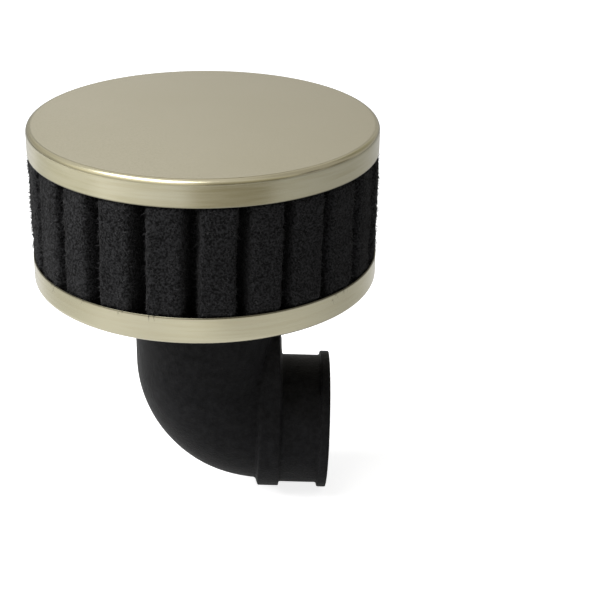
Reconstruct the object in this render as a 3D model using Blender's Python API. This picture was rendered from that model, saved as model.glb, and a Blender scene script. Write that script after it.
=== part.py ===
"""Angled clamp-on air filter: a drum of pleated foam between two plated pressings, on a moulded rubber elbow.

Metres, +Z up. The origin is the centre of the elbow's open mouth, where the engine's intake spigot
goes in, and +X points out of that mouth. The drum stands on the elbow's other end, with its axis
along +Z. From the outside in, the drum holds the foam element, the perforated cage that the
foam leans on, and the two poured rings that bond them to the cap and the pan.
"""

import math

import bmesh
import bpy
from mathutils import Vector

# Drum
DRUM_RADIUS = 0.055
SHEET = 0.0007  # thickness of the pressed steel
INSIDE_BEND = 0.0011  # radius inside the pressings' rounded corner
CAP_DEPTH = 0.0085
PAN_DEPTH = 0.0088
ELEMENT_SHOWN = 0.034  # height of foam between the two rims
BOND_DEPTH = 0.003  # thickness of the poured rings
FIT = 0.0003  # clearance between pieces that touch

# Foam element
PLEATS = 23
PLEAT_DEPTH = 0.0100  # from a ridge's crest to the root of the groove beside it
FOAM_SHEET = 0.0054  # thickness of the folded foam
GROOVE_DEGREES = 3.9  # mean width of a groove at the crests, seen from the axis
GROOVE_ROOT = 0.0013  # width of a groove at its root
GROOVE_SWING = 1.0  # how far the hand folding widens and narrows the grooves, in degrees
PLEAT_SWING = 0.95  # how far it shifts them, in degrees
SWING_WAVES = 3  # times that the unevenness repeats round the drum
SWING_LAG_DEGREES = 30.0  # how far its wave lags behind the first groove
GROOVE_START_DEGREES = -139.8  # direction of the first groove, seen from above
SHOULDER_RADIUS = 0.0026  # rounding of a ridge's shoulders
FOLD_SLIT = 0.0006  # gap left inside each fold
FOLD_MOUTH_RADIUS = 0.0020  # rounding where that gap opens inwards

# Cage
CAGE_SHEET = 0.0006
CAGE_COLUMNS = 20
CAGE_ROWS = 4
CAGE_BAR = 0.0014  # half of the metal between two windows

# Elbow
NECK_BORE_RADIUS = 0.019
NECK_WALL = 0.00275
LIP_HEIGHT = 0.0013  # stop bead at the mouth, above the band seat
LIP_WIDTH = 0.0030
LIP_BEVEL = 0.0008  # slope of the bead's two edges
BAND_SEAT = 0.0130  # room for a half-inch hose clamp
COLLAR_HEIGHT = 0.0014
COLLAR_WIDTH = 0.0084
COLLAR_BEVEL = 0.0014  # slope of the collar's back edge
COLLAR_PROUD = 0.0015  # how far the collar's face stands past the down pipe
STOP_WIDTH = 0.0020  # shoulder inside the neck that stops the intake spigot
STOP_INSET = 0.0019  # how far in front of the collar's back edge that shoulder lies
DUCT_RADIUS = 0.020  # in the down pipe
BODY_WALL = 0.0035
INNER_CORNER = 0.0004  # radius left at the inside of the bend
NARROWING = 1.7  # power by which the bend narrows: most of it comes near the collar
DOWN_PIPE = 0.0313  # straight drop from the pan to the start of the bend
WEB_INSET = 0.0031  # how much narrower than the collar the stiffening web is, on each side
WEB_CLIMB = 0.0168  # how far the web climbs above the collar
WEB_PROUD = 0.0002  # how far the top of the web stands past the down pipe
GRIP_WALL = 0.0023  # rubber left between the duct and the groove that grips the pan
FLANGE_REACH = 0.0052  # how far the flanges on both sides of that groove reach out of it
FLANGE_THICKNESS = 0.0025
FLANGE_BEVEL = 0.0007
CUT_PAST = 0.002  # how far a cutter runs past what it cuts

# Facets
DRUM_STEPS = 60
ELBOW_STEPS = 36
BEND_STEPS = 12
EDGE_STEPS = 4
SHOULDER_STEPS = 3
SHARP_DEGREES = 35

# Worked out from the values above
EDGE_RADIUS = INSIDE_BEND + SHEET
BODY_RADIUS = DUCT_RADIUS + BODY_WALL
BEND_DUCT_RADIUS = NECK_BORE_RADIUS - STOP_WIDTH
BEND_BODY_RADIUS = BEND_DUCT_RADIUS + BODY_WALL
NECK_RADIUS = NECK_BORE_RADIUS + NECK_WALL
LIP_RADIUS = NECK_RADIUS + LIP_HEIGHT
COLLAR_RADIUS = NECK_RADIUS + COLLAR_HEIGHT
BEND_RADIUS = max(BODY_RADIUS, BEND_BODY_RADIUS) + INNER_CORNER
COLLAR_FACE = -LIP_WIDTH - BAND_SEAT
COLLAR_BACK = COLLAR_FACE - COLLAR_WIDTH
SOCKET_END = COLLAR_BACK + STOP_INSET
WEB_HALF_WIDTH = COLLAR_RADIUS - WEB_INSET
WEB_RISE = COLLAR_RADIUS + WEB_CLIMB
AXIS_X = COLLAR_FACE - COLLAR_PROUD - BODY_RADIUS
BEND_TOP = BEND_RADIUS
BEND_END = AXIS_X + BEND_RADIUS
PAN_BOTTOM = BEND_TOP + DOWN_PIPE
PAN_RIM = PAN_BOTTOM + PAN_DEPTH
CAP_RIM = PAN_RIM + ELEMENT_SHOWN
CAP_TOP = CAP_RIM + CAP_DEPTH
GRIP_RADIUS = DUCT_RADIUS + GRIP_WALL
FLANGE_RADIUS = GRIP_RADIUS + FLANGE_REACH
FLANGE_TOP = PAN_BOTTOM + SHEET + FIT + FLANGE_THICKNESS
PAN_HOLE_RADIUS = GRIP_RADIUS + FIT
FOAM_OUTER = DRUM_RADIUS - SHEET - FIT
GROOVE_ROOT_RADIUS = FOAM_OUTER - PLEAT_DEPTH
FOAM_INNER = GROOVE_ROOT_RADIUS - FOAM_SHEET
CAGE_OUTER = FOAM_INNER - FIT
BOND_INNER = CAGE_OUTER - CAGE_SHEET - CAGE_BAR
BASE_BOND_BOTTOM = PAN_BOTTOM + SHEET + FIT
ELEMENT_BOTTOM = BASE_BOND_BOTTOM + BOND_DEPTH + FIT
TOP_BOND_BOTTOM = CAP_TOP - SHEET - FIT - BOND_DEPTH
ELEMENT_TOP = TOP_BOND_BOTTOM - FIT


def clear_scene():
    """Removes whatever the file holds, so that the script starts from nothing."""
    for old in list(bpy.data.objects):
        bpy.data.objects.remove(old, do_unlink=True)


def material(name, colour, roughness, metallic):
    """One Principled material in the piece's own colour."""
    made = bpy.data.materials.new(name)
    made.use_nodes = True
    shader = made.node_tree.nodes["Principled BSDF"]
    shader.inputs["Base Color"].default_value = (*colour, 1.0)
    shader.inputs["Roughness"].default_value = roughness
    shader.inputs["Metallic"].default_value = metallic
    made.diffuse_color = (*colour, 1.0)
    return made


def finish_object(name, mesh_edit, surface, parent):
    """Turns an edited mesh into a named object with its material, shaded smooth but for its sharp edges."""
    bmesh.ops.remove_doubles(mesh_edit, verts=mesh_edit.verts, dist=1e-7)
    bmesh.ops.recalc_face_normals(mesh_edit, faces=mesh_edit.faces)
    mesh = bpy.data.meshes.new(name)
    mesh_edit.to_mesh(mesh)
    mesh_edit.free()
    mesh.materials.append(surface)
    mesh.shade_smooth()
    mesh.set_sharp_from_angle(angle=math.radians(SHARP_DEGREES))
    made = bpy.data.objects.new(name, mesh)
    bpy.context.scene.collection.objects.link(made)
    made.parent = parent
    return made


def apply_modifiers(target):
    """Bakes the object's modifiers into its mesh."""
    bpy.context.view_layer.update()
    evaluated = target.evaluated_get(bpy.context.evaluated_depsgraph_get())
    baked = bpy.data.meshes.new_from_object(evaluated)
    target.modifiers.clear()
    target.data = baked


def boolean(target, other, operation):
    """Joins other to target or cuts it away, and removes other."""
    modifier = target.modifiers.new(operation.lower(), "BOOLEAN")
    modifier.operation = operation
    modifier.object = other
    modifier.solver = "EXACT"
    apply_modifiers(target)
    bpy.data.objects.remove(other, do_unlink=True)


def arc(centre, radius, start, end, steps):
    """Points of an arc, angles in degrees, both ends included."""
    points = []
    for step in range(steps + 1):
        angle = math.radians(start + (end - start) * step / steps)
        points.append((centre[0] + radius * math.cos(angle), centre[1] + radius * math.sin(angle)))
    return points


def turned(profile, steps, axis):
    """Spins a closed profile of (radius, height) points a full turn, about 'Z' or about 'X'."""
    made = bmesh.new()
    if axis == "Z":
        places = [Vector((radius, 0.0, height)) for radius, height in profile]
        direction = Vector((0.0, 0.0, 1.0))
    else:
        places = [Vector((height, 0.0, radius)) for radius, height in profile]
        direction = Vector((1.0, 0.0, 0.0))
    verts = [made.verts.new(place) for place in places]
    edges = [made.edges.new((verts[i], verts[(i + 1) % len(verts)])) for i in range(len(verts))]
    bmesh.ops.spin(
        made,
        geom=verts + edges,
        cent=(0.0, 0.0, 0.0),
        axis=direction,
        angle=2 * math.pi,
        steps=steps,
        use_merge=True,
    )
    bmesh.ops.remove_doubles(made, verts=made.verts, dist=1e-7)
    return made


def drum_piece(name, profile, bottom, surface, parent):
    """A piece of the drum that is turned from one profile and stands at the height given."""
    made = turned(profile, DRUM_STEPS, "Z")
    bmesh.ops.translate(made, verts=made.verts, vec=(0.0, 0.0, bottom))
    return finish_object(name, made, surface, parent)


def turned_over(profile, height):
    """The same profile upside down, within the height given."""
    return [(radius, height - level) for radius, level in profile]


def pressing(depth):
    """A pressed cup with its open end at height 0: its outside and inside, up to the plate, as points."""
    corner = (DRUM_RADIUS - EDGE_RADIUS, depth - EDGE_RADIUS)
    outside = arc(corner, EDGE_RADIUS, 0, 90, EDGE_STEPS)
    inside = arc(corner, INSIDE_BEND, 90, 0, EDGE_STEPS)
    return [(DRUM_RADIUS - SHEET, 0.0), (DRUM_RADIUS, 0.0), *outside], inside


def build_cap(steel, parent):
    """The top pressing: a flat plate with a rounded corner and a plain rim."""
    outside, inside = pressing(CAP_DEPTH)
    profile = [*outside, (0.0, CAP_DEPTH), (0.0, CAP_DEPTH - SHEET), *inside]
    return drum_piece("top_cap", profile, CAP_RIM, steel, parent)


def build_pan(steel, parent):
    """The bottom pressing: the same cup turned over, with the hole that the elbow snaps into."""
    outside, inside = pressing(PAN_DEPTH)
    hole = [(PAN_HOLE_RADIUS, PAN_DEPTH), (PAN_HOLE_RADIUS, PAN_DEPTH - SHEET)]
    profile = turned_over([*outside, *hole, *inside], PAN_DEPTH)
    return drum_piece("base_pan", profile, PAN_BOTTOM, steel, parent)


def build_bond_rings(resin, parent):
    """The two poured rings that seal the ends of the foam and the cage to the pan and to the cap."""
    base = [
        (BOND_INNER, 0.0),
        (FOAM_OUTER - INSIDE_BEND, 0.0),
        (FOAM_OUTER, INSIDE_BEND),
        (FOAM_OUTER, BOND_DEPTH),
        (BOND_INNER, BOND_DEPTH),
    ]
    top = turned_over(base, BOND_DEPTH)
    drum_piece("base_bond_ring", base, BASE_BOND_BOTTOM, resin, parent)
    drum_piece("top_bond_ring", top, TOP_BOND_BOTTOM, resin, parent)


def polar(radius, degrees):
    """A point of the foam's plan, from the drum's axis."""
    angle = math.radians(degrees)
    return (radius * math.cos(angle), radius * math.sin(angle))


def swing(index):
    """Where a groove lies on the wave of the uneven folding, in radians."""
    return 2 * math.pi * SWING_WAVES * index / PLEATS - math.radians(SWING_LAG_DEGREES)


def groove_centre(index):
    """Direction of a groove, in degrees. Folding by hand doesn't spread the grooves quite evenly."""
    return GROOVE_START_DEGREES + 360.0 * index / PLEATS - PLEAT_SWING * math.cos(swing(index))


def groove_half_width(index):
    """Half the angle that a groove takes at the crests, in degrees."""
    return (GROOVE_DEGREES + GROOVE_SWING * math.sin(swing(index))) / 2


def shoulder(tip, crest, flank):
    """Rounds a ridge's corner at tip with SHOULDER_RADIUS, between a point of the crest and one of the flank."""
    tip = Vector(tip)
    to_crest = (Vector(crest) - tip).normalized()
    to_flank = (Vector(flank) - tip).normalized()
    half = to_crest.angle(to_flank) / 2
    centre = tip + (to_crest + to_flank).normalized() * SHOULDER_RADIUS / math.sin(half)
    first = tip + to_crest * SHOULDER_RADIUS / math.tan(half) - centre
    last = tip + to_flank * SHOULDER_RADIUS / math.tan(half) - centre
    rays = [first.slerp(last, step / SHOULDER_STEPS).normalized() for step in range(SHOULDER_STEPS + 1)]
    return [centre + ray * SHOULDER_RADIUS for ray in rays]


def outer_outline():
    """The foam's outer plan: a ridge after each groove, with round shoulders and a narrow root beside it."""
    root_half = math.degrees(GROOVE_ROOT / 2 / GROOVE_ROOT_RADIUS)
    points = []
    for index in range(PLEATS):
        after = index + 1
        left = groove_centre(index) + groove_half_width(index)
        right = groove_centre(after) - groove_half_width(after)
        middle = (left + right) / 2
        root_left = polar(GROOVE_ROOT_RADIUS, groove_centre(index) + root_half)
        root_right = polar(GROOVE_ROOT_RADIUS, groove_centre(after) - root_half)
        crest = polar(FOAM_OUTER, middle)
        points.append(Vector(polar(GROOVE_ROOT_RADIUS - GROOVE_ROOT / 2, groove_centre(index))))
        points.append(Vector(root_left))
        points += reversed(shoulder(polar(FOAM_OUTER, left), crest, root_left))
        points.append(Vector(crest))
        points += shoulder(polar(FOAM_OUTER, right), crest, root_right)
        points.append(Vector(root_right))
    return points


def inner_outline():
    """The foam's inner plan: a round fold behind each groove and a slit up the middle of each ridge."""
    slit_end = FOAM_OUTER - FOAM_SHEET
    points = []
    for index in range(PLEATS):
        after = index + 1
        left = groove_centre(index) + groove_half_width(index)
        right = groove_centre(after) - groove_half_width(after)
        middle = math.radians((left + right) / 2)
        along = Vector((math.cos(middle), math.sin(middle)))
        across = Vector((-math.sin(middle), math.cos(middle)))
        mouth = []
        for step in range(SHOULDER_STEPS + 1):
            angle = math.pi / 2 * step / SHOULDER_STEPS
            inward = FOAM_INNER + FOLD_MOUTH_RADIUS * (1 - math.cos(angle))
            aside = FOLD_SLIT / 2 + FOLD_MOUTH_RADIUS * (1 - math.sin(angle))
            mouth.append((inward, aside))
        points.append(Vector(polar(FOAM_INNER, groove_centre(index))))
        points += [along * inward - across * aside for inward, aside in mouth]
        points.append(along * slit_end - across * FOLD_SLIT / 2)
        points.append(along * slit_end + across * FOLD_SLIT / 2)
        points += [along * inward + across * aside for inward, aside in reversed(mouth)]
    return points


def build_foam(foam, parent):
    """The folded foam sheet: its plan is filled between the two outlines and drawn up."""
    made = bmesh.new()
    for outline in (outer_outline(), inner_outline()):
        verts = [made.verts.new((point.x, point.y, ELEMENT_BOTTOM)) for point in outline]
        for i, vert in enumerate(verts):
            made.edges.new((vert, verts[(i + 1) % len(verts)]))
    bmesh.ops.triangle_fill(made, use_beauty=True, edges=made.edges)
    drawn = bmesh.ops.extrude_face_region(made, geom=made.faces[:])
    raised = [item for item in drawn["geom"] if isinstance(item, bmesh.types.BMVert)]
    bmesh.ops.translate(made, verts=raised, vec=(0.0, 0.0, ELEMENT_TOP - ELEMENT_BOTTOM))
    return finish_object("foam_element", made, foam, parent)


def build_cage(steel, parent):
    """The perforated tube inside the foam: a flat blank of windows, rolled up and given its thickness."""
    height = ELEMENT_TOP - ELEMENT_BOTTOM
    girth = 2 * math.pi * CAGE_OUTER
    made = bmesh.new()
    bmesh.ops.create_grid(made, x_segments=CAGE_COLUMNS, y_segments=CAGE_ROWS, size=0.5)
    bmesh.ops.scale(made, verts=made.verts, vec=(girth, height, 1.0))
    windows = made.faces[:]
    bmesh.ops.inset_individual(made, faces=windows, thickness=CAGE_BAR)
    bmesh.ops.delete(made, geom=windows, context="FACES")
    for vert in made.verts:
        angle = 2 * math.pi * vert.co.x / girth
        vert.co = Vector((CAGE_OUTER * math.cos(angle), CAGE_OUTER * math.sin(angle), vert.co.y))
    bmesh.ops.translate(made, verts=made.verts, vec=(0.0, 0.0, (ELEMENT_TOP + ELEMENT_BOTTOM) / 2))
    bmesh.ops.remove_doubles(made, verts=made.verts, dist=1e-6)
    cage = finish_object("support_cage", made, steel, parent)
    wall = cage.modifiers.new("wall", "SOLIDIFY")
    wall.thickness = CAGE_SHEET
    wall.offset = -1.0
    wall.use_rim = True
    return cage


def swept(stations, steps):
    """A closed tube of circles. Each station is (centre, direction of travel, radius)."""
    made = bmesh.new()
    rings = []
    for centre, direction, radius in stations:
        side = Vector((0.0, 1.0, 0.0))
        up = direction.cross(side).normalized()
        ring = []
        for step in range(steps):
            angle = 2 * math.pi * step / steps
            spoke = side * math.cos(angle) + up * math.sin(angle)
            ring.append(made.verts.new(centre + spoke * radius))
        rings.append(ring)
    for before, after in zip(rings, rings[1:]):
        for i in range(steps):
            j = (i + 1) % steps
            made.faces.new((before[i], before[j], after[j], after[i]))
    made.faces.new(rings[0])
    made.faces.new(rings[-1])
    return made


def bend_stations(first_radius, last_radius):
    """The quarter turn from the down pipe to the neck, its radius easing from the first value to the last."""
    stations = []
    for step in range(BEND_STEPS + 1):
        share = step / BEND_STEPS
        turn = math.pi / 2 * share
        inward = Vector((math.cos(turn), 0.0, math.sin(turn)))
        centre = Vector((BEND_END, 0.0, BEND_TOP)) - inward * BEND_RADIUS
        travel = Vector((math.sin(turn), 0.0, -math.cos(turn)))
        eased = share ** NARROWING
        stations.append((centre, travel, first_radius + (last_radius - first_radius) * eased))
    return stations


def build_elbow_body(rubber):
    """The outside of the elbow without its neck: grip for the pan, down pipe and bend."""
    down = Vector((0.0, 0.0, -1.0))
    grip_top = FLANGE_TOP - FLANGE_THICKNESS
    grip_bottom = PAN_BOTTOM - FIT
    flange_bottom = grip_bottom - FLANGE_THICKNESS
    drops = [
        (FLANGE_TOP, FLANGE_RADIUS - FLANGE_BEVEL),
        (FLANGE_TOP - FLANGE_BEVEL, FLANGE_RADIUS),
        (grip_top, FLANGE_RADIUS),
        (grip_top, GRIP_RADIUS),
        (grip_bottom, GRIP_RADIUS),
        (grip_bottom, FLANGE_RADIUS),
        (flange_bottom + FLANGE_BEVEL, FLANGE_RADIUS),
        (flange_bottom, FLANGE_RADIUS - FLANGE_BEVEL),
        (flange_bottom, BODY_RADIUS),
    ]
    stations = [(Vector((AXIS_X, 0.0, height)), down, radius) for height, radius in drops]
    stations += bend_stations(BODY_RADIUS, BEND_BODY_RADIUS)
    return finish_object("intake_elbow", swept(stations, ELBOW_STEPS), rubber, None)


def build_neck(rubber):
    """The straight neck with its collar, band seat and stop bead, as one turned solid on the X axis."""
    profile = [
        (0.0, COLLAR_BACK),
        (BEND_BODY_RADIUS - COLLAR_BEVEL, COLLAR_BACK),
        (COLLAR_RADIUS, COLLAR_BACK + COLLAR_BEVEL),
        (COLLAR_RADIUS, COLLAR_FACE),
        (NECK_RADIUS, COLLAR_FACE),
        (NECK_RADIUS, -LIP_WIDTH),
        (LIP_RADIUS, -LIP_WIDTH + LIP_BEVEL),
        (LIP_RADIUS, -LIP_BEVEL),
        (LIP_RADIUS - LIP_BEVEL, 0.0),
        (0.0, 0.0),
    ]
    return finish_object("neck", turned(profile, ELBOW_STEPS, "X"), rubber, None)


def build_web(rubber):
    """The arched web that stiffens the inside of the bend, from the collar up the down pipe."""
    lean = COLLAR_PROUD - WEB_PROUD
    made = bmesh.new()
    outline = []
    for step in range(ELBOW_STEPS // 2 + 1):
        angle = 2 * math.pi * step / ELBOW_STEPS
        place = (COLLAR_BACK + COLLAR_BEVEL, WEB_HALF_WIDTH * math.cos(angle), WEB_RISE * math.sin(angle))
        outline.append(made.verts.new(place))
    face = made.faces.new(outline)
    drawn = bmesh.ops.extrude_face_region(made, geom=[face])
    front = [item for item in drawn["geom"] if isinstance(item, bmesh.types.BMVert)]
    for vert in front:
        vert.co.x = COLLAR_FACE - lean * vert.co.z / WEB_RISE
    return finish_object("web", made, rubber, None)


def build_socket(rubber):
    """The room for the intake spigot, from past the mouth to the stop shoulder."""
    wall = [(NECK_BORE_RADIUS, SOCKET_END), (NECK_BORE_RADIUS, CUT_PAST)]
    profile = [(0.0, SOCKET_END), *wall, (0.0, CUT_PAST)]
    return finish_object("socket", turned(profile, ELBOW_STEPS, "X"), rubber, None)


def build_duct(rubber):
    """The air way through the elbow, from past the upper flange to past the mouth."""
    down = Vector((0.0, 0.0, -1.0))
    out = Vector((1.0, 0.0, 0.0))
    stations = [(Vector((AXIS_X, 0.0, FLANGE_TOP + CUT_PAST)), down, DUCT_RADIUS)]
    stations += bend_stations(DUCT_RADIUS, BEND_DUCT_RADIUS)
    stations += [(Vector((CUT_PAST, 0.0, 0.0)), out, BEND_DUCT_RADIUS)]
    return finish_object("duct", swept(stations, ELBOW_STEPS), rubber, None)


def build_elbow(rubber):
    """The moulded elbow: body, neck and web joined, then the air way and the socket cut out."""
    elbow = build_elbow_body(rubber)
    boolean(elbow, build_neck(rubber), "UNION")
    boolean(elbow, build_web(rubber), "UNION")
    boolean(elbow, build_duct(rubber), "DIFFERENCE")
    boolean(elbow, build_socket(rubber), "DIFFERENCE")
    elbow.data.shade_smooth()
    elbow.data.set_sharp_from_angle(angle=math.radians(SHARP_DEGREES))
    return elbow


def build_filter():
    """Every piece of the filter. The drum's pieces hang on one empty on the drum's axis."""
    clear_scene()
    plated = material("plated_steel", (0.62, 0.60, 0.53), 0.18, 1.0)
    zinc = material("galvanised_steel", (0.55, 0.56, 0.57), 0.45, 1.0)
    foam = material("black_foam", (0.022, 0.022, 0.024), 1.0, 0.0)
    rubber = material("black_rubber", (0.018, 0.018, 0.019), 0.55, 0.0)
    resin = material("bonding_resin", (0.10, 0.10, 0.10), 0.5, 0.0)

    drum = bpy.data.objects.new("drum", None)
    bpy.context.scene.collection.objects.link(drum)
    drum.location = (AXIS_X, 0.0, 0.0)

    build_elbow(rubber)
    build_pan(plated, drum)
    build_bond_rings(resin, drum)
    build_cage(zinc, drum)
    build_foam(foam, drum)
    build_cap(plated, drum)
    bpy.context.view_layer.update()


build_filter()
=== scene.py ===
"""An angled air filter: a drum of folded foam between two plated pressings, on a rubber elbow.

Metres and degrees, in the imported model's own frame: +X points out of the elbow's mouth, and +Z up
the drum's axis.
"""

import math

import bpy
import numpy as np
from mathutils import Matrix, Vector


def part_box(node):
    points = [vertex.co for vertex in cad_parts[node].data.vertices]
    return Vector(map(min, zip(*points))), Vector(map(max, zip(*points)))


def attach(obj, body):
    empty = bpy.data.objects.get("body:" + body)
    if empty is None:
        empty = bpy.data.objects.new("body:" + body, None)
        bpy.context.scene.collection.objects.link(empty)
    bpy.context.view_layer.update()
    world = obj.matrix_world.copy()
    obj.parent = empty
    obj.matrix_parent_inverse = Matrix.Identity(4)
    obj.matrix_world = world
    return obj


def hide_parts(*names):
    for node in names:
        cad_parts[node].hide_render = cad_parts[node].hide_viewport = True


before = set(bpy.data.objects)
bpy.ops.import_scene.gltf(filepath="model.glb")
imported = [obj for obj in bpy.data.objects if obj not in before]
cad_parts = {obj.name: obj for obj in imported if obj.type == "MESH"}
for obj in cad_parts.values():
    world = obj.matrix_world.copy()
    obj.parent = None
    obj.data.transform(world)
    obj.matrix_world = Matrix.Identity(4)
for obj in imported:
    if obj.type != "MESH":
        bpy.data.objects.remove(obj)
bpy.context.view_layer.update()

# The elbow is one rubber moulding. The groove between its two flanges snaps into the pan's hole.
# Below them it turns a quarter circle while it narrows, to a neck with a collar, a plain seat and a
# stop bead. An arched web stiffens the inside of the bend. The rubber droops: the neck sags a little.

elbow_low, elbow_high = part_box("intake_elbow")
pan_low, pan_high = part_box("base_pan")
drum_x = (pan_low.x + pan_high.x) / 2
drum_radius = (pan_high.x - pan_low.x) / 2
sheet = 0.0007
fit = 0.0003

pipe_radius = 0.0235
pipe_bore = 0.020
bend_radius = 0.0239
bend_end_radius = 0.0205
bend_end_bore = 0.0170
narrowing = 1.7
bend_end_x = drum_x + bend_radius
socket_bore = 0.019
socket_end_x = -0.0225
seat_radius = 0.02175
bead_radius = 0.0232
bead_width = 0.0030
collar_radius = 0.02315
collar_face_x = -0.016
collar_back_x = -0.0244
collar_bevel = 0.0014
web_half_width = 0.02005
web_rise = 0.03995
web_front_lean = 0.0015
web_front_slope = 0.5
web_front_start = 0.0222
web_back_lean = 0.27
web_back_start = 0.0205
web_depth = 0.0040
flange_radius = drum_x - elbow_low.x
flange_thickness = 0.0025
grip_radius = 0.0223
edge_rounding = 0.0004
fillet = 0.0005
neck_sag = 1.6
sag_start = -0.046
sag_pivot = (-0.006, 0.0215)
lattice_step = 0.00062


def rectangle(across, along, half_across, half_along, rounding):
    """Distance to a rectangle with rounded corners: past a corner's centre, the straight line to it."""
    over_across = np.abs(across) - half_across + rounding
    over_along = np.abs(along) - half_along + rounding
    beyond = np.hypot(np.maximum(over_across, 0), np.maximum(over_along, 0))
    return beyond + np.minimum(np.maximum(over_across, over_along), 0) - rounding


def joined(first, second, width):
    """Union of two distances. Where they differ by less than width, a fillet of that width is added.

    With s the first one's share, from 0 to 1, it is s of the first and the rest of the second, less
    width s (1 - s).
    """
    share = np.clip(0.5 + 0.5 * (second - first) / width, 0, 1)
    return second + (first - second) * share - width * share * (1 - share)


def cut(solid, tool, width):
    """Distance to solid without tool, with the edge between them broken over width."""
    return -joined(-solid, tool, width)


def bent_tube(x, y, z, straight, end):
    """Distance to a tube that comes down the drum's axis, turns a quarter circle and leaves along X.

    Its radius is straight in the pipe, and eases to end with the turn's share to the power of narrowing.
    """
    turn = np.clip(np.arctan2(bend_radius - z, bend_end_x - x) / (math.pi / 2), 0, 1)
    radius = straight + (end - straight) * turn**narrowing
    pipe = np.hypot(x - drum_x, y) - straight
    bend = np.hypot(np.hypot(bend_end_x - x, bend_radius - z) - bend_radius, y) - radius
    neck = np.hypot(y, z) - end
    return np.where(z >= bend_radius, pipe, np.where(x >= bend_end_x, neck, bend))


def sagged(x, z):
    """Where a point of the sagging neck came from: it is turned back about the pivot.

    The turn grows from nought to neck_sag with t t (3 - 2 t), t being the share of the way from
    sag_start to the collar's back.
    """
    share = np.clip((x - sag_start) / (collar_back_x - sag_start), 0, 1)
    turn = math.radians(neck_sag) * share**2 * (3 - 2 * share)
    across, up = x - sag_pivot[0], z - sag_pivot[1]
    return (sag_pivot[0] + across * np.cos(turn) - up * np.sin(turn),
            sag_pivot[1] + across * np.sin(turn) + up * np.cos(turn))


def elbow_distance(x, y, z):
    """Distance to the moulding: pipe, bend, flanges, neck, collar, bead and web, less the air way.

    Flanges, seat, bead and collar are rectangles turned about the pipe or the neck, and the collar's
    back is bevelled. The web is half an ellipse, |y / half width|^2 + |z / rise|^2 = 1, between a
    front and a back face that lean.
    """
    tiny = 1e-6
    x, z = sagged(x, z)
    out = np.hypot(x - drum_x, y)
    round_neck = np.hypot(y, z)
    lower_flange = pan_low.z - fit - flange_thickness / 2
    upper_flange = elbow_high.z - flange_thickness / 2
    body = np.maximum(bent_tube(x, y, z, pipe_radius, bend_end_radius), z - lower_flange)
    body = np.maximum(body, x - collar_face_x + edge_rounding)
    for height in (lower_flange, upper_flange):
        disc = rectangle(out, z - height, flange_radius, flange_thickness / 2, edge_rounding)
        body = joined(body, disc, edge_rounding)
    grip_half = (upper_flange - lower_flange) / 2
    body = np.minimum(body, rectangle(out, z - lower_flange - grip_half, grip_radius, grip_half, 0))

    seat_half = edge_rounding - collar_face_x / 2
    seat = rectangle(x - collar_face_x / 2, round_neck, seat_half, seat_radius, edge_rounding)
    seat = np.maximum(seat, x)
    bead = rectangle(x + bead_width / 2, round_neck, bead_width / 2, bead_radius, edge_rounding)
    collar_half = (collar_face_x - collar_back_x) / 2
    along_collar = x - collar_face_x + collar_half
    collar = rectangle(along_collar, round_neck, collar_half, collar_radius, edge_rounding)
    slope = math.atan2(collar_radius - bend_end_radius + collar_bevel, collar_bevel)
    bevel = (collar_back_x - x) * math.sin(slope)
    bevel += (round_neck - bend_end_radius + collar_bevel) * math.cos(slope)
    collar = -joined(-collar, -bevel, edge_rounding)

    arch = np.hypot(y / web_half_width, z / web_rise)
    steepness = np.hypot(y / web_half_width**2, z / web_rise**2) / np.maximum(arch, tiny)
    arch = (arch - 1) / np.maximum(steepness, 1)
    middle_share = 1 - (y / web_half_width) ** 2
    web_lean = np.clip(web_front_slope * (z - web_front_start), 0, web_front_lean)
    web_front = x - collar_face_x + web_lean * middle_share
    web_back = collar_back_x + collar_bevel + web_back_lean * np.maximum(z - web_back_start, 0) - x
    web_back = (web_back + np.maximum(arch, -web_depth)) / math.sqrt(2)
    web = -joined(-np.maximum(arch, -z), -np.maximum(web_front, web_back), edge_rounding)

    outside = joined(body, collar, fillet)
    outside = joined(outside, web, fillet)
    outside = joined(outside, seat, edge_rounding)
    outside = joined(outside, bead, edge_rounding)
    duct = bent_tube(x, y, z, pipe_bore, bend_end_bore)
    socket = np.maximum(round_neck - socket_bore, socket_end_x - x)
    return cut(cut(outside, duct, edge_rounding), socket, edge_rounding)


def slope_of(distance, points):
    """Gradient of a distance, from its values a hair to each side along X, Y and Z."""
    hair = 2e-5
    steps = np.eye(3) * hair
    rises = [distance(*(points + step).T) - distance(*(points - step).T) for step in steps]
    return np.stack(rises, axis=1) / (2 * hair)


def settled(distance, points, reach):
    """Points moved straight onto the surface: each goes back by its distance along the gradient.

    A gradient shorter than a half counts as a half, and no step is longer than reach along an axis.
    """
    shortest = 0.5
    rounds = 3
    for _ in range(rounds):
        slope = slope_of(distance, points)
        steepness = np.maximum((slope**2).sum(1, keepdims=True), shortest**2)
        step = distance(*points.T)[:, None] * slope / steepness
        points = points - np.clip(step, -reach, reach)
    return points


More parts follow.
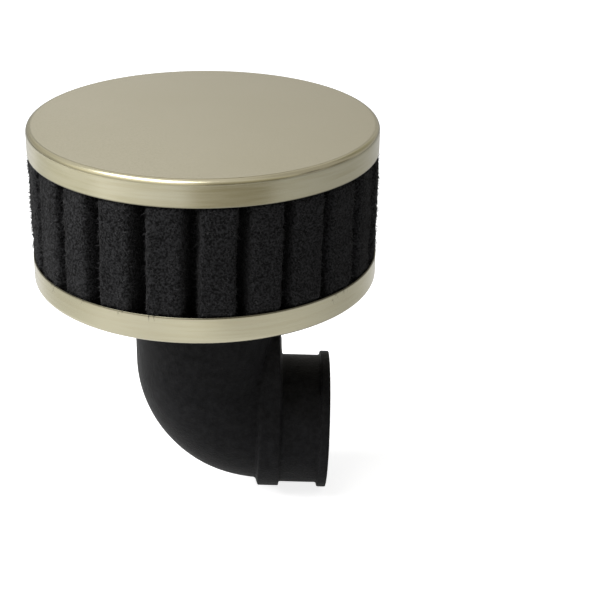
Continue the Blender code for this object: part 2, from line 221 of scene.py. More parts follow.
def skin(distance, low, high, step):
    """Closed mesh of the surface where distance is nought.

    Space is cut into cubes. Each cube with corners on both sides gets one point, and each lattice
    edge that crosses the surface gets one face, between the points of the four cubes round it. The
    points are then spread evenly, by moving each halfway to its neighbours' mean, and set onto the
    surface again.
    """
    axes = [np.arange(low[i] - 2 * step, high[i] + 2 * step, step) for i in range(3)]
    inside = distance(*np.meshgrid(*axes, indexing="ij")) < 0
    corners = sum(inside[i:, j:, k:][tuple(slice(0, n - 1) for n in inside.shape)].astype(int)
                  for i in (0, 1) for j in (0, 1) for k in (0, 1))
    mixed = (corners > 0) & (corners < 8)
    number = np.full(mixed.shape, -1)
    number[mixed] = np.arange(mixed.sum())
    points = np.stack([axis[at] + step / 2 for axis, at in zip(axes, np.nonzero(mixed))], axis=1)
    points = settled(distance, points, step / 2)
    faces = []
    for along in range(3):
        side, up = (along + 1) % 3, (along + 2) % 3
        ahead = np.roll(inside, -1, along)
        crossing = np.stack(np.nonzero(inside != ahead), axis=1)
        shifts = np.zeros((4, 3), int)
        shifts[[0, 3], side] = -1
        shifts[[0, 1], up] = -1
        cubes = crossing[:, None, :] + shifts
        quads = number[cubes[..., 0], cubes[..., 1], cubes[..., 2]]
        leaving = inside[tuple(crossing.T)]
        faces.append(np.where(leaving[:, None], quads, quads[:, ::-1]))
    faces = np.concatenate(faces)
    ends = np.concatenate([faces, np.roll(faces, -1, axis=1)], axis=1)
    pairs = np.stack([ends[:, :4].ravel(), ends[:, 4:].ravel()], axis=1)
    rounds = 2
    for _ in range(rounds):
        total = np.zeros_like(points)
        np.add.at(total, pairs[:, 0], points[pairs[:, 1]])
        met = np.bincount(pairs[:, 0], minlength=len(points))[:, None]
        points = settled(distance, 0.5 * points + 0.5 * total / met, step / 2)
    return points, faces


def piece(name, points, faces, surface, slot, *replaced):
    """A piece from its points and faces, shaded smooth. It rides on the one body."""
    mesh = bpy.data.meshes.new(name)
    mesh.from_pydata(points.tolist(), [], faces)
    mesh.materials.append(surface)
    mesh.shade_smooth()
    mesh.validate()
    made = bpy.data.objects.new(name, mesh)
    bpy.context.scene.collection.objects.link(made)
    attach(made, "root")
    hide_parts(*replaced)
    return made


def new_material(name):
    """An empty node material, with its tree, its Principled shader and a coordinate node."""
    made = bpy.data.materials.new(name)
    made.use_nodes = True
    tree = made.node_tree
    return made, tree, tree.nodes["Principled BSDF"], tree.nodes.new("ShaderNodeTexCoord")


def noise_node(tree, place, scale, detail, roughness=0.5):
    """Fractal noise in the place given, in waves to the metre."""
    node = tree.nodes.new("ShaderNodeTexNoise")
    node.inputs["Scale"].default_value = scale
    node.inputs["Detail"].default_value = detail
    node.inputs["Roughness"].default_value = roughness
    tree.links.new(place, node.inputs["Vector"])
    return node.outputs["Fac"]


def ramp_node(tree, value, *stops):
    """Colour ramp over a value. Each stop is (place, colour)."""
    node = tree.nodes.new("ShaderNodeValToRGB")
    tree.links.new(value, node.inputs["Fac"])
    while len(node.color_ramp.elements) < len(stops):
        node.color_ramp.elements.new(0.5)
    for element, (place, colour) in zip(node.color_ramp.elements, stops):
        element.position = place
        element.color = (*colour, 1.0)
    return node.outputs["Color"]


def times_node(tree, first, second):
    """Product of two colours."""
    node = tree.nodes.new("ShaderNodeMix")
    node.data_type = "RGBA"
    node.blend_type = "MULTIPLY"
    node.inputs["Factor"].default_value = 1.0
    tree.links.new(first, node.inputs["A"])
    tree.links.new(second, node.inputs["B"])
    return node.outputs["Result"]


def mix_node(tree, share, first, second):
    """First colour where share is 0, second where it is 1. Either may be a fixed colour."""
    node = tree.nodes.new("ShaderNodeMix")
    node.data_type = "RGBA"
    tree.links.new(share, node.inputs["Factor"])
    for name, colour in (("A", first), ("B", second)):
        if isinstance(colour, tuple):
            node.inputs[name].default_value = (*colour, 1.0)
        else:
            tree.links.new(colour, node.inputs[name])
    return node.outputs["Result"]


def range_node(tree, value, low, high):
    """Noise, which mostly lies from 0.3 to 0.7, spread over low to high."""
    node = tree.nodes.new("ShaderNodeMapRange")
    node.inputs["From Min"].default_value = 0.3
    node.inputs["From Max"].default_value = 0.7
    node.inputs["To Min"].default_value = low
    node.inputs["To Max"].default_value = high
    tree.links.new(value, node.inputs["Value"])
    return node.outputs["Result"]


def bump_node(tree, height, depth, strength=1.0, below=None):
    """Bump of the depth given, in metres, on top of another bump's normal."""
    node = tree.nodes.new("ShaderNodeBump")
    node.inputs["Strength"].default_value = strength
    node.inputs["Distance"].default_value = depth
    tree.links.new(height, node.inputs["Height"])
    if below is not None:
        tree.links.new(below, node.inputs["Normal"])
    return node.outputs["Normal"]


deep_black = (0.0065, 0.0065, 0.0070)
scuffed_black = (0.0170, 0.0170, 0.0182)

rubber, tree, shader, coordinates = new_material("moulded_rubber")
place = coordinates.outputs["Object"]
cloudy = noise_node(tree, place, scale=90, detail=5)
grain = noise_node(tree, place, scale=1800, detail=3, roughness=0.6)
scuffs = noise_node(tree, place, scale=420, detail=8, roughness=0.75)
blackness = ramp_node(tree, scuffs, (0.35, deep_black), (0.65, scuffed_black))
tree.links.new(blackness, shader.inputs["Base Color"])
tree.links.new(range_node(tree, scuffs, low=0.38, high=0.52), shader.inputs["Roughness"])
moulded = bump_node(tree, cloudy, depth=0.0012, strength=0.6)
grained = bump_node(tree, grain, depth=0.0003, strength=0.8, below=moulded)
tree.links.new(grained, shader.inputs["Normal"])
shader.inputs["Specular IOR Level"].default_value = 0.045

points, faces = skin(elbow_distance, elbow_low, elbow_high, lattice_step)
piece("elbow_moulding", points, faces.tolist(), rubber, "black_rubber", "intake_elbow")

# The pan is a shallow cup, pressed from one disc of sheet steel and plated bright. Its plate has the
# elbow's hole, and its rounded corner and plain rim are as the press and the buff left them.

pan_height = pan_high.z - pan_low.z
inside_bend = 0.0011
close = 0.0002
pan_hole = grip_radius + fit
steps_round = 288
round_stretch = 0.05
dull_end = (0.0006, 0.0002)
white = (1.0, 1.0, 1.0)
plating_warm = (0.483, 0.453, 0.328)
plating_light = (0.497, 0.467, 0.345)
bare_steel = (0.16, 0.15, 0.11)
pan_streaks = (0.96, 0.95, 0.93)


def arc(centre, radius, start, end, steps):
    """Points of an arc in the profile's plane: centre + radius (cos a, sin a), with a in degrees."""
    a = np.radians(np.linspace(start, end, steps + 1))
    return np.stack([centre[0] + radius * np.cos(a), centre[1] + radius * np.sin(a)], axis=1)


def pressed_cup(depth, hole):
    """Profile of a pressing as (radius, height) points, rim at height 0, plate at depth, hole in the plate.

    A point of each straight stretch lies close to each of its ends, so that its middle shades as flat.
    """
    corner = (drum_radius - sheet - inside_bend, depth - sheet - inside_bend)
    rim_centre = (drum_radius - sheet / 2, sheet / 2)
    rim = arc(rim_centre, sheet / 2, 180, 360, steps=6)
    outside = arc(corner, inside_bend + sheet, 0, 90, steps=14)
    inside = arc(corner, inside_bend, 90, 0, steps=10)
    wall = np.array([(drum_radius, sheet / 2 + close), (drum_radius, corner[1] - close)])
    plate_rings = 30
    radii = np.concatenate([[corner[0] - close], np.linspace(corner[0], hole, plate_rings)[1:]])
    plate = np.stack([radii, np.full_like(radii, depth)], axis=1)
    inner_wall = (wall - (sheet, 0))[::-1]
    return np.concatenate([rim, wall, outside, plate, (plate - (0, sheet))[::-1], inside, inner_wall])


def turned(profile, steps):
    """A closed profile carried round the drum's axis: x = drum_x + r cos a, y = r sin a, z = height."""
    a = np.linspace(0, 2 * math.pi, steps, endpoint=False)[:, None]
    radius, height = profile[:, 0][None, :], profile[:, 1][None, :]
    grid = np.stack([drum_x + radius * np.cos(a), radius * np.sin(a), height + 0 * a], axis=2)
    count = len(profile)
    i, j = np.meshgrid(np.arange(steps), np.arange(count), indexing="ij")
    ahead, over = (i + 1) % steps, (j + 1) % count
    faces = np.stack([i * count + j, ahead * count + j, ahead * count + over, i * count + over], axis=2)
    return grid.reshape(-1, 3), faces.reshape(-1, 4)


def plated_steel(name, plate_height, depth, worn):
    """Bright nickel-like plating over buffed steel. Fine lines and faint streaks run round the rim.

    A streak is at most as dark as worn. The rim's cut end is bare, and dull. The lines are noise in
    a place whose X and Y are squeezed by round_stretch, which draws them out round the drum.
    """
    made, tree, shader, coordinates = new_material(name)
    place = coordinates.outputs["Object"]
    stretched = tree.nodes.new("ShaderNodeMapping")
    stretched.inputs["Location"].default_value = (-drum_x * round_stretch, 0, -plate_height)
    stretched.inputs["Scale"].default_value = (round_stretch, round_stretch, 1.0)
    tree.links.new(place, stretched.inputs["Vector"])
    lines = noise_node(tree, stretched.outputs["Vector"], scale=1500, detail=4, roughness=0.6)
    bands = noise_node(tree, stretched.outputs["Vector"], scale=800, detail=3, roughness=0.6)
    tarnish = noise_node(tree, place, scale=35, detail=5, roughness=0.55)
    grain = noise_node(tree, place, scale=1400, detail=3)
    clean = ramp_node(tree, tarnish, (0.3, plating_warm), (0.7, plating_light))
    streaked = times_node(tree, clean, ramp_node(tree, bands, (0.38, worn), (0.56, white)))
    along_axes = tree.nodes.new("ShaderNodeSeparateXYZ")
    tree.links.new(stretched.outputs["Vector"], along_axes.inputs["Vector"])
    from_plate = tree.nodes.new("ShaderNodeMath")
    from_plate.operation = "ABSOLUTE"
    tree.links.new(along_axes.outputs["Z"], from_plate.inputs[0])
    on_rim = tree.nodes.new("ShaderNodeMapRange")
    on_rim.inputs["From Max"].default_value = inside_bend + sheet
    tree.links.new(from_plate.outputs[0], on_rim.inputs["Value"])
    at_end = tree.nodes.new("ShaderNodeMapRange")
    at_end.inputs["From Min"].default_value = depth - dull_end[0]
    at_end.inputs["From Max"].default_value = depth - dull_end[1]
    tree.links.new(from_plate.outputs[0], at_end.inputs["Value"])
    plated = mix_node(tree, on_rim.outputs["Result"], clean, streaked)
    coloured = mix_node(tree, at_end.outputs["Result"], plated, bare_steel)
    tree.links.new(coloured, shader.inputs["Base Color"])
    shader.inputs["Metallic"].default_value = 1.0
    finish = mix_node(tree, on_rim.outputs["Result"], grain, lines)
    tree.links.new(range_node(tree, finish, low=0.17, high=0.26), shader.inputs["Roughness"])
    buffed = bump_node(tree, finish, depth=0.000008, strength=0.5)
    uneven = bump_node(tree, tarnish, depth=0.00002, strength=0.4, below=buffed)
    tree.links.new(uneven, shader.inputs["Normal"])
    return made


profile = pressed_cup(pan_height, pan_hole)
profile[:, 1] = pan_high.z - profile[:, 1]
points, faces = turned(profile[::-1], steps_round)
plating = plated_steel("pan_plating", pan_low.z, pan_height, pan_streaks)
piece("pan_pressing", points, faces.tolist(), plating, "plated_steel", "base_pan")

# The two rings are urethane, poured into the pan and the cap while liquid. They seal the ends of the
# foam and the cage, and stay hidden behind the rims.

resin_dark = (0.03, 0.03, 0.032)
resin_light = (0.05, 0.05, 0.052)

resin, tree, shader, coordinates = new_material("poured_urethane")
place = coordinates.outputs["Object"]
flow = noise_node(tree, place, scale=160, detail=4)
tree.links.new(ramp_node(tree, flow, (0.3, resin_dark), (0.7, resin_light)), shader.inputs["Base Color"])
tree.links.new(range_node(tree, flow, low=0.35, high=0.55), shader.inputs["Roughness"])
tree.links.new(bump_node(tree, flow, depth=0.0004), shader.inputs["Normal"])
for name in ("base_bond_ring", "top_bond_ring"):
    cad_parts[name].data.materials.clear()
    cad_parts[name].data.materials.append(resin)

# The cage is galvanised sheet steel, punched with windows and rolled into a tube. Its ends stand in
# the two poured rings, and the foam leans on it, so that the engine can't suck the foam inwards.

zinc_dark = (0.45, 0.46, 0.47)
zinc_light = (0.60, 0.61, 0.62)

zinc, tree, shader, coordinates = new_material("galvanised_sheet")
place = coordinates.outputs["Object"]
spangle = noise_node(tree, place, scale=300, detail=2)
tree.links.new(ramp_node(tree, spangle, (0.3, zinc_dark), (0.7, zinc_light)), shader.inputs["Base Color"])
shader.inputs["Metallic"].default_value = 1.0
tree.links.new(range_node(tree, spangle, low=0.35, high=0.55), shader.inputs["Roughness"])
tree.links.new(bump_node(tree, spangle, depth=0.00002), shader.inputs["Normal"])
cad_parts["support_cage"].data.materials.clear()
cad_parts["support_cage"].data.materials.append(zinc)

# The element is one sheet of black open-cell foam, folded back and forth by hand into ridges and
# grooves round the drum. Its skin is torn cells, which stand out as a short nap.

foam_low, foam_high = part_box("foam_element")
cap_low, cap_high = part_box("top_cap")
pleats = 23
crest_radius = drum_radius - sheet - fit
fold_depth = 0.0100
root_radius = crest_radius - fold_depth
crest_bulge = 0.00085
bulge_climb = 0.0006
foam_sheet = 0.0054
groove_start = -139.8
groove_degrees = 3.9
groove_swing = 1.0
pleat_swing = 0.95
swing_waves = 3
swing_lag = 30.0
fold_twist = 1.1
fold_shift = (1.2, 0.3, 0.3, 0.55, 0.5, -0.45, -0.75) + (0.0,) * 15 + (0.9,)
root_groove = 0.0013
squareness = 10.0
points_per_pleat = 64
foam_rows = 62
rim_overlap = 0.0012
fold_waves = ((0.030, 0.45), (0.015, 0.3), (0.008, 0.25), (0.005, 0.2))
fold_waver = 0.18
groove_waver = 0.16
groove_waver_ahead = 11
lump_height = 0.00018
lump_size = 0.0035
cell_height = 0.00024
cell_size = 0.0012
torn_skin = 0.0001
ragged_edge = 0.00036
ragged_reach = 1.4
inward_share = 0.7
pore_black = (0.002, 0.002, 0.0022)
cell_black = (0.029, 0.029, 0.0305)


def swing(index):
    """Where a groove lies on the wave of the uneven folding, in radians."""
    return 2 * math.pi * swing_waves * index / pleats - math.radians(swing_lag)


def waver(index, height, size):
    """Slow unevenness along a fold: the sum of four sine waves, each fold with its own phases."""
    phases = np.random.default_rng(7).uniform(0, 2 * math.pi, (pleats, len(fold_waves)))
    total = 0
    for k, (length, share) in enumerate(fold_waves):
        total = total + share * np.sin(2 * math.pi * height / length + phases[index % pleats, k])
    return size * total


def lattice_noise(across, up, cell, seed):
    """Smooth random heights from -1 to 1: random values on a lattice, and a cosine blend between them."""
    count = 1024
    values = np.random.default_rng(seed).uniform(-1, 1, (count, count))
    a, b = across / cell, up / cell
    i, j = np.floor(a).astype(int), np.floor(b).astype(int)
    u, v = (1 - np.cos(math.pi * (a - i))) / 2, (1 - np.cos(math.pi * (b - j))) / 2
    i, j, i_next, j_next = i % count, j % count, (i + 1) % count, (j + 1) % count
    low = values[i, j] * (1 - u) + values[i_next, j] * u
    high = values[i, j_next] * (1 - u) + values[i_next, j_next] * u
    return low * (1 - v) + high * v


def foam_outline(height):
    """Radius and angle of the foam's outside at one or more heights, from groove to groove.

    A ridge is a square-shouldered oval, |across|^n + |up|^n = 1, drawn between two grooves. It is
    wider at its root than at its crest, so that the groove beside it narrows as it goes in. Between
    the rims the crest swells by bulge (1 - e^-(distance from the rim / climb)). The grooves are
    evenly spaced but for a wave of the folding, a shift for each fold, the twist and the waver.
    """
    index = np.repeat(np.arange(pleats), points_per_pleat)[None, :]
    phi = np.tile(np.linspace(0, math.pi, points_per_pleat), pleats)[None, :]
    across = -np.sign(np.cos(phi)) * np.abs(np.cos(phi)) ** (2 / squareness)
    up = np.abs(np.sin(phi)) ** (2 / squareness)
    share_up = (height - pan_high.z) / (cap_low.z - pan_high.z)
    edges = []
    for side in (0, 1):
        groove = index + side
        centre = groove_start + 360 * groove / pleats - pleat_swing * np.cos(swing(groove))
        centre = centre + np.array(fold_shift)[groove % pleats] + fold_twist * (share_up - 0.5)
        centre = centre + waver(groove, height, fold_waver)
        half = (groove_degrees + groove_swing * np.sin(swing(groove))) / 2
        half = half + waver(groove + groove_waver_ahead, height, groove_waver)
        root_half = math.degrees(root_groove / 2 / root_radius)
        edges.append((centre, root_half + (half - root_half) * up))
    left = edges[0][0] + edges[0][1]
    right = edges[1][0] - edges[1][1]
    angle = np.radians((left + right) / 2 + (right - left) / 2 * across)
    above_rim = np.minimum(height - pan_high.z, cap_low.z - height)
    bulge = crest_bulge * (1 - np.exp(-np.maximum(above_rim, 0) / bulge_climb))
    radius = root_radius + (crest_radius + bulge - root_radius) * up
    return radius, angle, up


shown = np.linspace(pan_high.z - rim_overlap, cap_low.z + rim_overlap, foam_rows)
heights = np.concatenate([[foam_low.z], shown, [foam_high.z]])[:, None]
radius, angle, up = foam_outline(heights)
around = angle * crest_radius + inward_share * radius
level = heights + 0 * angle
lumps = lump_height * lattice_noise(around, level, lump_size, seed=1)
cells = cell_height * lattice_noise(around, level, cell_size, seed=2)
radius = radius + (lumps + cells - torn_skin) * up
ragged = ragged_edge * lattice_noise(around + 0.5, level, cell_size, seed=3)
angle = angle + ragged / crest_radius * np.clip(ragged_reach - ragged_reach * up**4, 0, 1)
columns = pleats * points_per_pleat
outer = np.stack([drum_x + radius * np.cos(angle), radius * np.sin(angle), level], axis=2)
inner_radius = root_radius - foam_sheet
ends = np.array([foam_low.z, foam_high.z])[:, None]
inner_angle = angle[[0, -1]]
inner = np.stack([drum_x + inner_radius * np.cos(inner_angle), inner_radius * np.sin(inner_angle),
                  ends + 0 * inner_angle], axis=2)
grid = np.concatenate([outer, inner[::-1]])
rows = len(grid)
i, j = np.meshgrid(np.arange(rows), np.arange(columns), indexing="ij")
over, ahead = (i + 1) % rows, (j + 1) % columns
faces = np.stack([i * columns + j, i * columns + ahead, over * columns + ahead, over * columns + j], axis=2)

foam, tree, shader, coordinates = new_material("open_cell_foam")
place = coordinates.outputs["Object"]
speckle = noise_node(tree, place, scale=1500, detail=2, roughness=0.6)
patches = noise_node(tree, place, scale=140, detail=4)
blackness = ramp_node(tree, speckle, (0.38, pore_black), (0.62, cell_black))
tree.links.new(blackness, shader.inputs["Base Color"])
shader.inputs["Roughness"].default_value = 1.0
shader.inputs["Specular IOR Level"].default_value = 0.15
pores = bump_node(tree, speckle, depth=0.0006)
uneven = bump_node(tree, patches, depth=0.0006, strength=0.4, below=pores)
tree.links.new(uneven, shader.inputs["Normal"])
faces = faces.reshape(-1, 4).tolist()
element = piece("folded_foam", grid.reshape(-1, 3), faces, foam, "black_foam", "foam_element")

# The nap is the torn skin of the same foam: strands of its cells, half a millimetre to one and a
# half long, still fast at one end, which curl as they like. A few tufts hang over the pan's rim.

strand_spots = 170100
strand_length = (0.0005, 0.0014)
strand_leans = (0.5, 1.4)
strand_droop = 0.35
fringe_spots = 5400
fringe_length = (0.0007, 0.0015)
fringe_leans = (0.2, 0.9)
fringe_droop = 1.3
fringe_heights = (-0.0003, 0.0020)
tuft_size = 0.004
strand_radius = 0.00009
strand_depth = 0.00006
strand_curl = 0.35
strand_taper = 0.8
least_share = 0.15
tuft_contrast = 3
strand_dark = (0.005, 0.005, 0.0053)
strand_light = (0.054, 0.054, 0.056)
random = np.random.default_rng(5)


def nap(surface, heights_shown, crest_share, spots, lengths, leans, droop):
    """Curled strands on the foam's outside: each is a bent three-sided spike, closed at its foot.

    Its centre line is foot + length (t direction + t t curl), for t at 0, a half and 1. The curl is
    random, with droop downwards on the whole. A strand leans from straight out by an angle between
    leans, in radians. Of the spots tried, one keeps its strand more often the higher its crest share
    and the wider its column.
    """
    heights_of_rows = surface[:, 0, 2]
    rows_kept = np.nonzero((heights_of_rows > heights_shown[0]) & (heights_of_rows < heights_shown[1]))[0]
    row = random.choice(rows_kept[1:-1], spots)
    column = random.integers(1, surface.shape[1] - 1, spots)
    step = np.linalg.norm(surface[row, column + 1] - surface[row, column - 1], axis=1)
    wanted = np.nonzero(random.random(spots) < step / step.max() * crest_share[0, column])[0]
    row, column = row[wanted], column[wanted]
    along = surface[row, column + 1] - surface[row, column - 1]
    upwards = surface[row + 1, column] - surface[row - 1, column]
    outwards = np.cross(along, upwards)
    axes = [v / np.linalg.norm(v, axis=1, keepdims=True) for v in (along, upwards, outwards)]
    spot = random.uniform(-0.5, 0.5, (len(row), 2, 1))
    foot = surface[row, column] + spot[:, 0] * along / 2 + spot[:, 1] * upwards / 2 - strand_depth * axes[2]
    turn = random.uniform(0, 2 * math.pi, (len(row), 1))
    lean = random.uniform(*leans, (len(row), 1))
    flat = np.cos(turn) * axes[0] + np.sin(turn) * axes[1]
    direction = np.cos(lean) * axes[2] + np.sin(lean) * flat
    curl = random.normal(0, strand_curl, (len(row), 3)) - (0, 0, droop)
    length = random.uniform(*lengths, (len(row), 1))
    side = np.cross(direction, random.normal(0, 1, (len(row), 3)))
    side /= np.linalg.norm(side, axis=1, keepdims=True)
    other = np.cross(direction, side)
    ring = np.radians([0, 120, 240])[None, :, None]
    spokes = strand_radius * (np.cos(ring) * side[:, None] + np.sin(ring) * other[:, None])
    middle = foot + length * (0.5 * direction + 0.25 * curl)
    tip = foot + length * (direction + curl)
    thinned = middle[:, None] + strand_taper * spokes
    corners = np.concatenate([foot[:, None] + spokes, thinned, tip[:, None]], axis=1)
    start = np.arange(len(row))[:, None, None] * 7
    sides = start + np.array([(0, 1, 4, 3), (1, 2, 5, 4), (2, 0, 3, 5)])
    ends = start + np.array([(3, 4, 6), (4, 5, 6), (5, 3, 6), (0, 2, 1)])
    return corners.reshape(-1, 3), sides.reshape(-1, 4).tolist() + ends.reshape(-1, 3).tolist()


strand_foam, tree, shader, coordinates = new_material("foam_strands")
place = coordinates.outputs["Object"]
shades = noise_node(tree, place, scale=1100, detail=1)
blackness = ramp_node(tree, shades, (0.38, strand_dark), (0.66, strand_light))
tree.links.new(blackness, shader.inputs["Base Color"])
shader.inputs["Roughness"].default_value = 0.7
shader.inputs["Specular IOR Level"].default_value = 0.2
on_crests = np.clip(up, least_share, 1) ** 2
shown_part = (pan_high.z - rim_overlap, cap_low.z + rim_overlap)
points, faces = nap(outer, shown_part, on_crests, strand_spots, strand_length, strand_leans, strand_droop)
tufts = np.clip(tuft_contrast * lattice_noise(around[:1], 0 * around[:1], tuft_size, seed=9), 0, 1)
on_tufts = tufts * up**4
at_rim = (pan_high.z + fringe_heights[0], pan_high.z + fringe_heights[1])
fringe, fringe_faces = nap(outer, at_rim, on_tufts, fringe_spots, fringe_length, fringe_leans, fringe_droop)
faces += [[corner + len(points) for corner in face] for face in fringe_faces]
points = np.concatenate([points, fringe])
foam_nap = piece("foam_nap", points, faces, strand_foam, "black_foam", "foam_element")

# The cap is the same steel pressing as the pan, the other way up and without a hole, and plated as
# brightly. Its poured ring holds it on the foam and the cage.

cap_height = cap_high.z - cap_low.z
cap_streaks = (0.91, 0.90, 0.85)
profile = pressed_cup(cap_height, 0.0)
profile[:, 1] = cap_low.z + profile[:, 1]
points, faces = turned(profile, steps_round)
plating = plated_steel("cap_plating", cap_high.z, cap_height, cap_streaks)
piece("cap_pressing", points, faces.tolist(), plating, "plated_steel", "top_cap")

# The filter hangs on its mouth when it is used. Here it stands just over a plain pale floor, which
# is no part of it. For glossy rays only, the floor has patches of painted shadow and a painted glow,
# light that no lamp gives, which the plating mirrors.

floor_gap = 0.0005
floor_size = 30.0
floor_white = (0.85, 0.85, 0.85)
floor_glow = (0.82, 0.82, 0.82)
# Where the floor's painted glow, seen in the plating only, grows towards the front left.
lamp_way = (-0.45, -0.90, 0.0)
lamp_glow_start = 0.3
lamp_glow_end = 1.5

floor_material, tree, shader, coordinates = new_material("pale_floor")
shader.inputs["Roughness"].default_value = 0.9
shader.inputs["Specular IOR Level"].default_value = 0.0
path = tree.nodes.new("ShaderNodeLightPath")
place = coordinates.outputs["Object"]


def far_node(tree, place, spot, near, far):
    """How far the place is from a spot: 0 within near, rising to 1 at far."""
    reach = tree.nodes.new("ShaderNodeVectorMath")
    reach.operation = "DISTANCE"
    reach.inputs[1].default_value = spot
    tree.links.new(place, reach.inputs[0])
    share = tree.nodes.new("ShaderNodeMapRange")
    share.inputs["From Min"].default_value = near
    share.inputs["From Max"].default_value = far
    tree.links.new(reach.outputs["Value"], share.inputs["Value"])
    return share.outputs["Result"]


floor_z = elbow_low.z - floor_gap
# Painted shadow: for glossy rays only, the floor is darker in a patch in front on the right and in one
# behind on the left, though nothing casts shade there.
shaded = far_node(tree, place, (drum_x + 0.16, -0.46, floor_z), near=0.18, far=0.25)
in_plating = mix_node(tree, shaded, (0.30, 0.27, 0.18), (0.66, 0.66, 0.66))
painted_shade_left_back = far_node(tree, place, (drum_x - 0.38, 0.03, floor_z), near=0.16, far=0.235)
in_plating = times_node(tree, in_plating, mix_node(tree, painted_shade_left_back, (0.70, 0.70, 0.65), white))
paleness = mix_node(tree, path.outputs["Is Glossy Ray"], floor_white, in_plating)
tree.links.new(paleness, shader.inputs["Base Color"])
# Painted glow: for glossy rays only, the floor glows most just in front of the filter, also near it and far
# out to the front left, light that no lamp gives. For camera rays it glows evenly instead.
towards_lamp = tree.nodes.new("ShaderNodeVectorMath")
towards_lamp.operation = "DOT_PRODUCT"
towards_lamp.inputs[1].default_value = lamp_way
tree.links.new(place, towards_lamp.inputs[0])
front_left = tree.nodes.new("ShaderNodeMapRange")
front_left.inputs["From Min"].default_value = lamp_glow_start
front_left.inputs["From Max"].default_value = lamp_glow_end
tree.links.new(towards_lamp.outputs["Value"], front_left.inputs["Value"])
beside = far_node(tree, place, (drum_x + 0.05, -0.04, floor_z), near=0.17, far=0.30)
painted_low_glow = mix_node(tree, beside, (0.30, 0.30, 0.29), (0.17, 0.17, 0.17))
in_front = far_node(tree, place, (drum_x - 0.02, -0.235, floor_z), near=0.02, far=0.10)
painted_low_glow = mix_node(tree, in_front, (0.46, 0.46, 0.43), painted_low_glow)
painted_glow_in_plating = mix_node(tree, front_left.outputs["Result"], painted_low_glow, (0.60, 0.59, 0.52))
glow = mix_node(tree, path.outputs["Is Glossy Ray"], (0.0, 0.0, 0.0), painted_glow_in_plating)
glow = mix_node(tree, path.outputs["Is Camera Ray"], glow, floor_glow)
tree.links.new(glow, shader.inputs["Emission Color"])
shader.inputs["Emission Strength"].default_value = 1.0

floor_mesh = bpy.data.meshes.new("floor")
corners = np.array([(-1, -1), (1, -1), (1, 1), (-1, 1)]) * floor_size / 2
floor_mesh.from_pydata([(x, y, floor_z) for x, y in corners], [], [(0, 1, 2, 3)])
floor_mesh.materials.append(floor_material)
floor = bpy.data.objects.new("floor", floor_mesh)
bpy.context.scene.collection.objects.link(floor)

# The light is a studio's: a soft box low on the left, one high on the left that draws the line along
# the cap's edge, and a pale room. What the plating mirrors of the room is a painted reflection, for
# glossy rays only: darker or lighter to the sides and above, with a dark ring behind and patches of
# painted shade and painted light.

middle = Vector((drum_x, 0.0, (cap_high.z + elbow_low.z) / 2))
room_strength = 0.20
# Painted reflection, for glossy rays only: the room that the plating mirrors is darker low down and lighter
# above, with a dark ring behind.
low_wall = 0.24
high_wall = 0.46
wall_dim = (0.76, 0.76, 0.76)
wall_bright = (1.24, 1.24, 1.24)
ceiling_bright = (1.33, 1.33, 1.33)
dark_ring_way = (0.0, 0.951, 0.309)
dark_ring_shade = (0.42, 0.42, 0.42)
# Each patch of painted shade or painted light in the reflection is a way from the filter, how far from that
# way it is whole and gone, and its shade.
painted_reflection_patches = (((0.90, -0.25, 0.36), 0.08, 0.20, (0.16, 0.15, 0.17)),
                    ((0.45, -0.85, 0.25), 0.35, 0.75, (0.50, 0.48, 0.40)),
                    ((0.0, 0.75, 0.66), 0.10, 0.30, (0.60, 0.58, 0.54)),
                    ((0.68, 0.15, 0.72), 0.40, 0.60, (0.59, 0.58, 0.57)),
                    ((0.62, 0.62, 0.48), 0.20, 0.36, (0.52, 0.51, 0.43)),
                    ((0.975, 0.10, 0.18), 0.10, 0.26, (0.42, 0.40, 0.34)),
                    ((-0.60, 0.67, 0.42), 0.12, 0.32, (0.82, 0.80, 0.76)),
                    ((-0.80, 0.58, 0.05), 0.15, 0.35, (1.25, 1.23, 1.18)),
                    ((-0.75, -0.62, 0.10), 0.60, 1.00, (1.70, 1.67, 1.60)))


def soft_box(name, azimuth, elevation, distance, width, height, power):
    """An area lamp that looks at the filter. Azimuth 0 is in front of it, and 90 on its right."""
    data = bpy.data.lights.new(name, "AREA")
    data.shape = "RECTANGLE"
    data.size, data.size_y, data.energy = width, height, power
    lamp = bpy.data.objects.new(name, data)
    a, e = math.radians(azimuth), math.radians(elevation)
    away = Vector((math.sin(a) * math.cos(e), -math.cos(a) * math.cos(e), math.sin(e)))
    lamp.location = middle + away * distance
    lamp.rotation_euler = away.to_track_quat("Z", "Y").to_euler()
    bpy.context.scene.collection.objects.link(lamp)
    return lamp


side_light = soft_box("side", azimuth=-85, elevation=30, distance=0.8, width=0.5, height=0.4, power=7.0)
side_light.visible_glossy = False
soft_box("top", azimuth=-50, elevation=60, distance=0.8, width=0.66, height=0.38, power=3.6)

world = bpy.data.worlds.new("room")
bpy.context.scene.world = world
world.use_nodes = True
tree = world.node_tree
room = tree.nodes["Background"]
room.inputs["Color"].default_value = (*white, 1.0)
room.inputs["Strength"].default_value = room_strength
mirrored = tree.nodes.new("ShaderNodeBackground")
coordinates = tree.nodes.new("ShaderNodeTexCoord")
direction = tree.nodes.new("ShaderNodeSeparateXYZ")
tree.links.new(coordinates.outputs["Generated"], direction.inputs["Vector"])
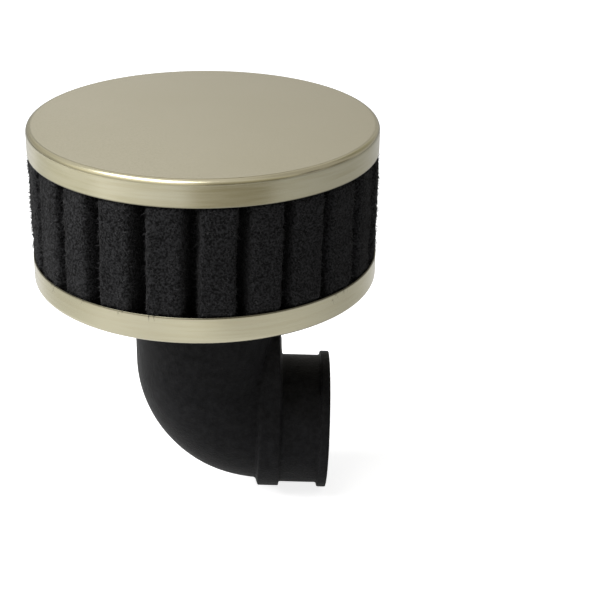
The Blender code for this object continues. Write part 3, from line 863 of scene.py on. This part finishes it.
# Painted reflection: for glossy rays only, the room is lighter or darker to each side and above.
sideways = tree.nodes.new("ShaderNodeMapRange")
sideways.inputs["From Min"].default_value = -1.0
tree.links.new(direction.outputs["X"], sideways.inputs["Value"])
painted_walls = ramp_node(tree, sideways.outputs["Result"], (0.34, (0.70, 0.69, 0.64)), (0.43, (0.87, 0.85, 0.81)),
                  (0.57, (0.62, 0.60, 0.56)), (0.70, (0.74, 0.72, 0.67)))
upwards = tree.nodes.new("ShaderNodeMapRange")
upwards.inputs["From Min"].default_value = low_wall
upwards.inputs["From Max"].default_value = high_wall
tree.links.new(direction.outputs["Z"], upwards.inputs["Value"])
brighter_above = ramp_node(tree, upwards.outputs["Result"], (0.0, wall_dim), (0.64, wall_bright),
                           (1.0, ceiling_bright))
# Painted reflection: a dark ring round the way behind, high up only, which the plating mirrors as thin dark
# lines along the cap's edge.
behind = far_node(tree, coordinates.outputs["Generated"], dark_ring_way, near=0.0, far=1.0)
mirrored_dark_ring = ramp_node(tree, behind, (0.20, white), (0.27, dark_ring_shade), (0.36, dark_ring_shade), (0.46, white))
mirrored_dark_ring = mix_node(tree, upwards.outputs["Result"], white, mirrored_dark_ring)
painted_room_reflection = times_node(tree, times_node(tree, painted_walls, brighter_above), mirrored_dark_ring)
for way, near, far, shade in painted_reflection_patches:
    away = far_node(tree, coordinates.outputs["Generated"], way, near, far)
    painted_room_reflection = times_node(tree, painted_room_reflection, mix_node(tree, away, shade, white))
tree.links.new(painted_room_reflection, mirrored.inputs["Color"])
backdrop = tree.nodes.new("ShaderNodeBackground")
backdrop.inputs["Color"].default_value = (*white, 1.0)
path = tree.nodes.new("ShaderNodeLightPath")
by_metal = tree.nodes.new("ShaderNodeMixShader")
by_camera = tree.nodes.new("ShaderNodeMixShader")
tree.links.new(path.outputs["Is Glossy Ray"], by_metal.inputs[0])
tree.links.new(room.outputs[0], by_metal.inputs[1])
tree.links.new(mirrored.outputs[0], by_metal.inputs[2])
tree.links.new(path.outputs["Is Camera Ray"], by_camera.inputs[0])
tree.links.new(by_metal.outputs[0], by_camera.inputs[1])
tree.links.new(backdrop.outputs[0], by_camera.inputs[2])
tree.links.new(by_camera.outputs[0], tree.nodes["World Output"].inputs["Surface"])

# The camera stands in front of the filter, a little to its right and well above the cap, with a
# long lens. The angles are in degrees, and the lens and the sensor in millimetres.

camera_distance = 0.44767
camera_height = 0.15423
camera_azimuth = 2.6
turned_right = 1.554
tilted_down = 25.096
rolled = 0.888
lens_length = 88.29
sensor_width = 36.0

azimuth = math.radians(camera_azimuth)
camera_data = bpy.data.cameras.new("camera")
camera_data.lens = lens_length
camera_data.sensor_width = sensor_width
camera_data.clip_start = 0.01
camera_data.clip_end = 100.0
camera = bpy.data.objects.new("camera", camera_data)
stand = Matrix.Translation((drum_x + camera_distance * math.sin(azimuth),
                            -camera_distance * math.cos(azimuth), cap_low.z + camera_height))
aim = Matrix.Rotation(math.radians(-turned_right), 4, "Z")
aim = aim @ Matrix.Rotation(math.radians(90 - tilted_down), 4, "X")
camera.matrix_world = stand @ aim @ Matrix.Rotation(math.radians(rolled), 4, "Z")
bpy.context.scene.collection.objects.link(camera)
bpy.context.scene.camera = camera

bpy.context.scene.view_settings.view_transform = "Standard"
